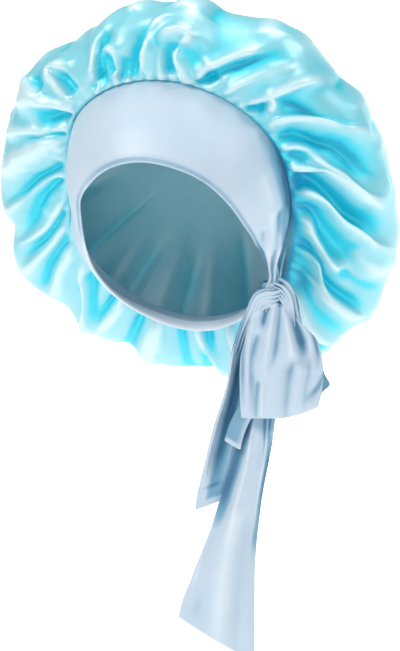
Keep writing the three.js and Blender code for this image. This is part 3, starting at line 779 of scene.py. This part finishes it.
def band_at(u, v):
    angle = band_angle(u)
    share = min(v / HEM_LINE, 1)
    place = band_face(angle, share)
    ahead = band_face(min(angle + 0.5, BAND_UNTIL), share)
    along = (ahead - band_face(max(angle - 0.5, BAND_FROM), share)).normalized()
    across = (band_face(angle, share + 0.01) - band_face(angle, share - 0.01)).normalized()
    outward = across.cross(along).normalized()
    pleat = smooth_step(angle, 94, 118) * math.sin(17 * share - 0.09 * (angle - 104))
    rise = fold_push(band_folds, angle * FOLD_ACROSS, share * FOLD_DEEP)[0] + 1.5 * pleat
    place = place + outward * (rise - HEM_ROLL * smooth_step(share, 0.97, 1) * 0.2) * 0.001
    if v > HEM_LINE:
        turn = math.pi * min((v - HEM_LINE) / HEM_TURN, 1)
        roll = HEM_ROLL * 0.001
        place = place + outward * roll * (math.cos(turn) - 1) + across * roll * math.sin(turn)
        place = place - across * HEM_BACK * max((v - HEM_LINE) / HEM_TURN - 1, 0)
    # The twist's pleats get painted shade and highlight stronger than their height.
    return place, rise + 8 * pleat


band = cloth_grid("band_jersey", 460, 50, band_at)


def band_shade(u, v):
    """Painted shade on the jersey: at the seam, down its left side, at its end under the nape and along the
    hem.
    """
    angle = band_angle(u)
    seam = 0.4 * (1 - smooth_step(v, 0, 0.05))
    left = 0.75 * smooth_step(angle, 30, 90) * (1 - smooth_step(v, 0.08, 0.48))
    nape = 0.85 * (1 - smooth_step(angle, -228, -215))
    hem = 0.55 * smooth_step(v, 0.82, HEM_LINE) * smooth_step(angle, -110, -80)
    return seam + left + nape + hem - 0.06


paint_shading(band, rounds=20, scale=0.004, shade=band_shade)

# The jersey's colours: painted shadow, painted fold shade, its own pale blue, and a painted crest
# highlight.
jersey, shader, hollow = cloth_paint(
    "pale_blue_jersey",
    colours=((0.04, 0.18, 0.32), (0.16, 0.38, 0.54), (0.57, 0.70, 0.82), (0.78, 0.87, 0.94)),
    roughness=0.46,
    threads=1100,
    weave=0.5,
    slub=0.25,
    bump=0.0003,
)
shader.inputs["Specular IOR Level"].default_value = 0.75
shader.inputs["Sheen Weight"].default_value = 0.1
shader.inputs["Sheen Roughness"].default_value = 0.5


def thicken(piece):
    """The jersey's thickness, laid behind the face that was shaped."""
    thick = piece.modifiers.new("cloth_thickness", "SOLIDIFY")
    thick.thickness = JERSEY_THICK
    thick.offset = -1


band.data.materials.append(jersey)
thicken(band)
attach(band, "root")
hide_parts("band")

# The knot is the band's end wrapped round itself: strands of gathered jersey that arch over the ties'
# roots, down at one side into the short tail, and down at the other behind the bow loop.
# An arch's points are across, out and up, in mm; a point of the core ends with the strand's radius.
LEFT_ARCH = [(92, 12, -51.5), (86, 18, -53), (79.5, 20.5, -54.6), (73.5, 20.5, -55), (66, 19, -59.5)] + [
    (60.5, 17, -72.3),
    (54.6, 12.5, -87),
    (48.5, 7, -106.5),
]
RIGHT_ARCH = [(79, 17, -46), (87.5, 19.5, -49.8), (93.5, 18.5, -58.5), (96.3, 16, -70.6), (98, 12, -86)]
KNOT_CORE = [
    [(62, 3, -88, 3), (64, -3, -70, 4), (69, -7, -58, 5), (82, -8, -54, 7), (93, -2, -58, 5.5)]
    + [(98, 6, -72, 4)],
    [(64, 4, -86, 3.5), (70, -5, -74, 5), (82, -6, -71, 7), (94, 2, -80, 4.5)],
    [(79, 8, -46, 6.5), (78, 9, -58, 9.5), (78, 9, -72, 10), (78, 7, -86, 8)],
    [(84, 10, -43, 2), (90, 13, -47, 2.2), (95, 13, -55, 2.3), (98, 12, -66, 2.3), (102, 10, -82, 2)],
]
KNOT_MIDDLE = 80


def nested(arch, middle_up, step, count, radius, start=1.0, set_back=0):
    """So many strands of an arch, one inside the next, each smaller than the last by a step."""
    strands = []
    for k in range(count):
        size = start - step * k
        strand = []
        for i, (across, out, up) in enumerate(arch):
            end = abs(2 * i / (len(arch) - 1) - 1)
            thick = radius * (1 - 0.35 * end**2) * (1 + 0.12 * math.sin(2.1 * k + i))
            across = KNOT_MIDDLE + (across - KNOT_MIDDLE) * size
            up = middle_up + (up - middle_up) * size
            strand.append((across, out - set_back - 0.5 * k, up, thick))
        strands.append(strand)
    return strands


knot_strands = nested(LEFT_ARCH, -84, 0.115, 4, 2) + nested(RIGHT_ARCH, -80, 0.1, 4, 1.5) + KNOT_CORE
knot_strands += nested(LEFT_ARCH, -84, 0.1, 1, 2.4, start=1.06, set_back=4)

knot_mesh = bpy.data.meshes.new("knot_wrap")
knot = bpy.data.objects.new("knot_wrap", knot_mesh)
bpy.context.scene.collection.objects.link(knot)
bm = bmesh.new()
for strand in knot_strands:
    made = bmesh.ops.create_grid(bm, x_segments=28, y_segments=56, size=0.5)
    last = len(strand) - 1
    for v in made["verts"]:
        turn = 2 * math.pi * (v.co.x + 0.5)
        share = v.co.y + 0.5
        at = share * last
        i = min(int(at), last - 1)
        near = [strand[min(max(i + step, 0), last)] for step in (-1, 0, 1, 2)]
        here = [between(*(row[part] for row in near), at - i) for part in range(4)]
        nearer = [between(*(row[part] for row in near), at - i + 0.05) for part in range(3)]
        ahead = (hanging(*nearer) - hanging(*here[:3])).normalized()
        front = hanging(0, 1, 0).normalized()
        side = ahead.cross(front).normalized()
        front = side.cross(ahead)
        ends = math.sqrt(max(1 - (2 * share - 1) ** 20, 0))
        wide = here[3] * ends * (1 + 0.1 * math.cos(3 * turn + 9 * share))
        ring = side * math.cos(turn) * 1.08 + front * math.sin(turn) * 0.85
        v.co = hanging(*here[:3]) + ring * wide * 0.001
bmesh.ops.remove_doubles(bm, verts=bm.verts, dist=1e-6)
bmesh.ops.recalc_face_normals(bm, faces=bm.faces)
for face in bm.faces:
    face.smooth = True
bm.to_mesh(knot_mesh)
bm.free()
# Painted shade: the strands are darkest where they turn away from the front, and darker on the short tail's
# side.
marks = knot_mesh.attributes.new("painted_shading", "FLOAT", "POINT").data
front = hanging(0, 1, 0).normalized()
for v in knot_mesh.vertices:
    left = 1 - smooth_step(v.co.x, 0.052, 0.066)
    marks[v.index].value = (0.52 - 0.22 * left) * smooth_step(v.normal.dot(front), 0.3, 0.98)
knot.data.materials.append(jersey)
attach(knot, "root")
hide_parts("knot")

# The bow loop is a length of the same jersey, folded back on itself so that it hangs in a flattened loop.
# Its front is full and softly pleated; its back layer shows as a corner at the right.
# A tie's rows run down it: the height, its two margins as seen from the front, and how far out it lies.
TIE_COLUMNS = ("up", "left", "right", "out_left", "out_middle", "out_right")
BOW_LOOP = [
    (-60, 72, 86, 13, 14, 12),
    (-64, 69, 88, 16, 18, 15),
    (-70, 64, 93, 18, 22, 16),
    (-78, 60.5, 101, 18.5, 25, 17),
    (-86, 58, 110, 18.5, 27, 17),
    (-93, 56.5, 115.5, 18.5, 28, 17),
    (-106, 53.5, 120, 19, 28.5, 17),
    (-119, 52.5, 121.4, 19.5, 28, 16.5),
    (-134, 52.5, 121, 20, 27, 15.5),
    (-146, 53, 119.5, 20, 24, 15),
    (-153, 53.5, 118, 18.5, 20, 14),
    (-156, 54, 117, 14.5, 15.5, 12),
    (-152, 54.5, 117, 10, 10.5, 9.5),
    (-143, 55.5, 121, 9.5, 10, 9),
    (-135, 56, 127, 9.5, 10, 9),
    (-124, 57, 123, 9.5, 10, 9),
    (-108, 58, 118, 9.5, 10, 9),
    (-92, 62, 106, 9.5, 10, 9),
    (-78, 70, 90, 9.5, 10, 9),
    (-64, 74, 84, 9.5, 10, 9),
]
# The loop's pleats: height, half-width, lean, then points across and up.
LOOP_FOLDS = [
    (-8, 2, 0, (78, -58), (75.4, -66), (73, -76), (70, -88)),
    (-6, 3, 0, (86, -58), (84.5, -76), (81.5, -98), (77, -122)),
    (5, 4, 0, (82, -58), (79.5, -70), (76, -98), (70, -126)),
    (-5, 3, 0, (70, -84), (65.6, -96), (62.3, -112), (63.1, -132), (65, -166)),
    (-5, 1.6, 0, (60, -74), (57, -92), (55.6, -112), (55.2, -166)),
    (4, 1.8, 0, (64, -74), (60, -92), (58.6, -112), (58.2, -166)),
    (3.4, 1.4, 0, (71, -126), (69.8, -142), (69.4, -172)),
    (-3.4, 1.4, 0, (68.4, -124), (66.8, -142), (66.4, -172)),
    (8, 3.4, 0, (86, -56), (89.6, -70), (92.4, -85), (95, -101), (93.5, -118)),
    (-12, 3.2, 0, (90, -56), (94.5, -71), (99, -84), (102.4, -96), (104.4, -113)),
    (8, 2.4, 0, (93, -56), (99.5, -73), (107, -86), (111.4, -99), (113.4, -124)),
    (-9, 2, 0, (96.5, -58), (103, -73.5), (111.5, -87), (115.8, -101), (118.6, -118)),
    (5, 1.8, 0, (99, -60), (106, -73), (114.5, -86), (119, -101), (120.5, -118)),
    (-5, 4, 0, (96, -104), (93.2, -124), (91, -142), (88, -172)),
    (-3.6, 3.4, 0, (113, -98), (107.6, -122), (105, -142), (103, -166)),
    (4, 4.6, 0, (103, -112), (99, -132), (97, -166)),
    (-5, 2.2, 0, (124, -112), (121, -124), (116, -136), (106, -146)),
]


def tie_row(table, share):
    """A row of a tie's table at a share of the way down it, smooth between the rows."""
    last = len(table) - 1
    at = share * last
    i = min(int(at), last - 1)
    near = [table[min(max(i + step, 0), last)] for step in (-1, 0, 1, 2)]
    return {name: between(*(row[part] for row in near), at - i) for part, name in enumerate(TIE_COLUMNS)}


def tie_point(row, s, up, rise):
    """A point of the tie's cloth at a share across a row, bowed out in the middle and lifted by a fold."""
    sag = 4 * s * (1 - s) * (row["out_middle"] - (row["out_left"] + row["out_right"]) / 2)
    out = row["out_left"] + (row["out_right"] - row["out_left"]) * s + sag + rise
    return hanging(row["left"] + (row["right"] - row["left"]) * s, out, up)


loop_folds = laid_folds(LOOP_FOLDS, 1, 1)
# The row where the loop turns up behind itself.
loop_turn = 11 / (len(BOW_LOOP) - 1)


def loop_at(u, v):
    row = tie_row(BOW_LOOP, v)
    wide = smooth_step(row["right"] - row["left"], 20, 55)
    up = row["up"] + (9 * max(2 * u - 1, 0) ** 1.6 - 1) * wide * smooth_step(-row["up"], 110, 150)
    across = row["left"] + (row["right"] - row["left"]) * u
    rise = fold_push(loop_folds, across, row["up"])[0] * (1 - smooth_step(v, loop_turn - 0.06, loop_turn))
    edge = 1 - 0.7 * (2 * u - 1) ** 8
    return tie_point(row, u, up, rise * edge), rise


def finish_tie(piece, node, rounds, shade):
    """The tie's painted shade, cloth and thickness, and the node it stands for."""
    paint_shading(piece, rounds, scale=0.0075, shade=shade)
    piece.data.materials.append(jersey)
    thicken(piece)
    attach(piece, "root")
    if node:
        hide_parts(node)


def loop_shade(u, v):
    """Painted shade: the loop's back layer is darker than its front."""
    return 0.32 * smooth_step(v, 0.56, 0.62) - 0.02


loop = cloth_grid("bow_loop_jersey", 110, 220, loop_at, soften=5)
finish_tie(loop, "bow_loop", rounds=16, shade=loop_shade)

# The long tail is the band's end: it comes out under the bow loop and widens down to a slanting hem.
# Its right margin folds back, and a small curl of its left margin stands out at the top.
TAIL_LONG = [
    (-66, 73, 85, 7, 7.2, 7),
    (-90, 70, 86, 6, 7, 6),
    (-120, 64, 85, 5, 7, 5),
    (-150, 60, 83, 6, 9, 6),
    (-165, 55.5, 81.5, 7, 11, 6.5),
    (-180, 51, 79.5, 8, 13, 7),
    (-195, 46.5, 77, 9, 14.5, 7),
    (-210, 41.5, 74, 10, 15.5, 7),
    (-225, 36.5, 71.4, 11, 16.5, 8),
    (-240, 31.5, 69.4, 12, 17.5, 9),
    (-255, 26, 67.6, 13, 18.5, 10),
    (-270, 20, 66.4, 14, 19.5, 11),
    (-285, 14, 65.7, 15, 20.5, 12),
    (-305, 8, 65.5, 17, 21.5, 14),
    (-335, 2.5, 65.5, 19, 22, 16),
]
LONG_FOLDS = [
    (-5, 4, 0, (60, -150), (50, -190), (40, -222), (31, -256)),
    (3.4, 2, 0, (66, -146), (59, -190), (49.5, -227), (40, -264)),
    (-4, 1.3, 0, (74.5, -140), (73.5, -168), (71.5, -200)),
    (-4, 1.3, 0, (78.5, -140), (77, -166), (75, -196)),
    (2.8, 1.4, 0, (76.5, -140), (75.2, -168), (73.4, -198)),
    (-8, 3, 0, (80, -168), (76, -200), (71.5, -228), (68.5, -280)),
    (2.4, 1.6, 0, (75, -172), (70.5, -200), (66.5, -232), (64, -276)),
    (5, 7, 0, (54, -226), (41, -282), (34, -350)),
    (-4, 5, 0, (58, -230), (52, -286), (49, -362)),
    (-4, 5, 0, (30, -246), (21, -290), (15, -340)),
    (4, 3.5, 0, (38, -212), (24, -262), (11, -310)),
]
long_folds = laid_folds(LONG_FOLDS, 1, 1)


def long_at(u, v):
    row = tie_row(TAIL_LONG, v)
    end = smooth_step(-row["up"], 286, 335)
    drop = 16 - 33 * min(u / 0.86, 1) ** 0.95 + 4 * max(u - 0.86, 0) / 0.14
    up = row["up"] + end * drop
    across = row["left"] + (row["right"] - row["left"]) * u
    rise = fold_push(long_folds, across, up)[0]
    return tie_point(row, u, up, rise), rise


def long_shade(u, v):
    """Painted shade: the tail is darker down its left margin, in its folded right margin, and under the
    loop.
    """
    margin = 0.36 * (1 - smooth_step(u, 0.12, 0.36)) * (1 - smooth_step(v, 0.5, 0.85))
    folded = 0.3 * smooth_step(u, 0.86, 0.93) * smooth_step(v, 0.35, 0.45) * (1 - smooth_step(v, 0.7, 0.85))
    return margin + folded + 0.25 * (1 - smooth_step(v, 0.27, 0.36)) - 0.08


tail_long = cloth_grid("tail_long_jersey", 90, 300, long_at, soften=4)
finish_tie(tail_long, "tail_long", rounds=16, shade=long_shade)


def curl_at(u, v):
    turn = math.radians(-125 + 250 * u)
    wide, deep = 7 + 0.6 * v, 4 + 2 * v
    over = wide * math.sin(turn)
    bend = 1.6 * math.sin(math.pi * v)
    across = 58.5 - 11.5 * v + 0.86 * over - bend
    return hanging(across, 11 + 2 * v + deep * math.cos(turn), -150 - 29 * v - 0.5 * over), 0


def curl_shade(u, v):
    """Painted shade on the curl, with painted light where it turns to the right and at its lip."""
    return 0.26 - 0.3 * smooth_step(u, 0.52, 0.84) - 0.4 * smooth_step(v, 0.82, 0.98)


curl = cloth_grid("tail_curl_jersey", 48, 60, curl_at)
finish_tie(curl, None, rounds=12, shade=curl_shade)

# The short tail is the band's other end, of the same jersey. It comes down from the knot's outer strand,
# behind the long tail, with a rolled margin, and ends in a turned-up hem.
TAIL_SHORT = [
    (-84, 58, 68, 9, 10, 8),
    (-95, 50, 64, 7, 9, 6),
    (-106, 45.9, 62, 5, 7, 5),
    (-131, 41.8, 58, 3, 5.5, 3),
    (-165, 31.2, 56, 1, 4.5, 1),
    (-192, 24.6, 51, 0, 4, 0),
    (-216.6, 18, 44, 0, 4.5, 0),
    (-229, 16.4, 40.5, 1, 4.5, 2),
]
SHORT_FOLDS = [
    (4.5, 2, 0, (49, -90), (43.5, -131), (33.4, -165), (26.6, -192), (20, -228)),
    (-7, 4.4, 0, (56, -96), (51, -131), (42, -165), (34.5, -192), (29, -222)),
    (3, 2.6, 0, (60, -110), (52, -160), (44, -190), (36, -224)),
    (-2, 1, 0, (12, -218), (26, -215), (42, -208)),
]
short_folds = laid_folds(SHORT_FOLDS, 1, 1)


def short_at(u, v):
    row = tie_row(TAIL_SHORT, v)
    up = row["up"] + 4.5 * (2 * u - 1) * smooth_step(-row["up"], 180, 229)
    across = row["left"] + (row["right"] - row["left"]) * u
    rise = fold_push(short_folds, across, up)[0]
    return tie_point(row, u, up, rise), rise


def short_shade(u, v):
    """Painted shade beside the tail's rolled margin, and lighter again at its hem."""
    return 0.26 * smooth_step(u, 0.22, 0.42) * (1 - 0.8 * smooth_step(v, 0.9, 0.93))


tail_short = cloth_grid("tail_short_jersey", 60, 180, short_at, soften=4)
finish_tie(tail_short, "tail_short", rounds=12, shade=short_shade)
